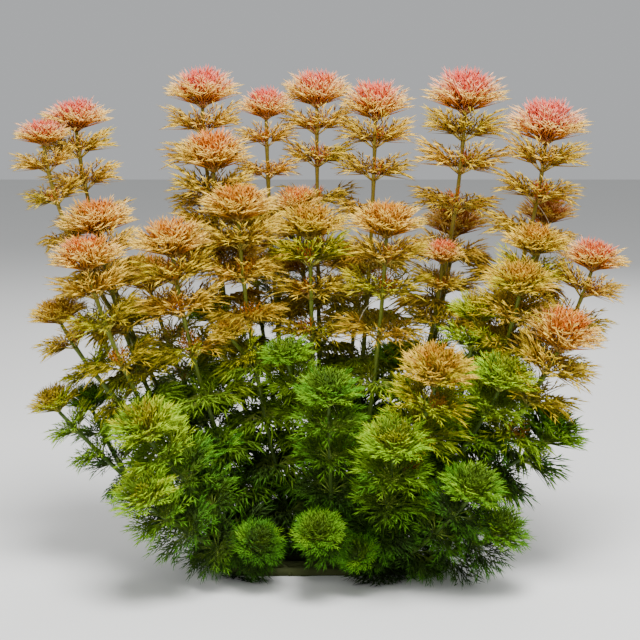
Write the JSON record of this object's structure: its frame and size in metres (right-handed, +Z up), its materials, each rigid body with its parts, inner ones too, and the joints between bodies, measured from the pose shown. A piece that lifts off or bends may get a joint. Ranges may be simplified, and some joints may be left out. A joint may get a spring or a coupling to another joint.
{
  "type": "aquarium plant",
  "caption": "Bushy ambulia plant: feathery leaf whorls on leafy shoots that fan out from a creeping rootstock, pink on top and green below.",
  "frame": {"origin": "the foot mount, on the flat cut under the rootstock, amid the stems' feet", "axes": "+Z up, +X along the bush's width, -Y towards the side that the picture shows"},
  "size_m": [0.3665, 0.2072, 0.3007],
  "materials": {
    "crown_pink": "matte",
    "crown_orange": "matte",
    "crown_green": "matte",
    "stem_and_whorls": "matte",
    "rootstock": "matte"
  },
  "bodies": {
    "root": {"rootstock": "rootstock", "stem_01": "stem_and_whorls", "stem_02": "stem_and_whorls", "stem_03": "stem_and_whorls", "stem_04": "stem_and_whorls", "stem_05": "stem_and_whorls", "stem_06": "stem_and_whorls", "stem_07": "stem_and_whorls", "stem_08": "stem_and_whorls", "stem_09": "stem_and_whorls", "stem_10": "stem_and_whorls", "stem_11": "stem_and_whorls", "stem_12": "stem_and_whorls", "stem_13": "stem_and_whorls", "stem_14": "stem_and_whorls", "stem_15": "stem_and_whorls", "stem_16": "stem_and_whorls", "stem_17": "stem_and_whorls", "stem_18": "stem_and_whorls", "stem_19": "stem_and_whorls", "stem_20": "stem_and_whorls", "stem_21": "stem_and_whorls", "stem_22": "stem_and_whorls", "stem_23": "stem_and_whorls", "stem_24": "stem_and_whorls", "stem_25": "stem_and_whorls", "stem_26": "stem_and_whorls", "stem_27": "stem_and_whorls", "stem_28": "stem_and_whorls", "stem_29": "stem_and_whorls", "crown_01": "crown_pink", "crown_02": "crown_pink", "crown_03": "crown_pink", "crown_04": "crown_pink", "crown_05": "crown_pink", "crown_06": "crown_pink", "crown_07": "crown_pink", "crown_08": "crown_orange", "crown_09": "crown_orange", "crown_10": "crown_orange", "crown_11": "crown_orange", "crown_12": "crown_orange", "crown_13": "crown_orange", "crown_14": "crown_orange", "crown_15": "crown_orange", "crown_16": "crown_orange", "crown_17": "crown_orange", "crown_18": "crown_green", "crown_19": "crown_green", "crown_20": "crown_green", "crown_21": "crown_green", "crown_22": "crown_green", "crown_23": "crown_green", "crown_24": "crown_green", "crown_25": "crown_green", "crown_26": "crown_orange", "crown_27": "crown_orange", "crown_28": "crown_orange", "crown_29": "crown_orange"}
  },
  "joints": []
}
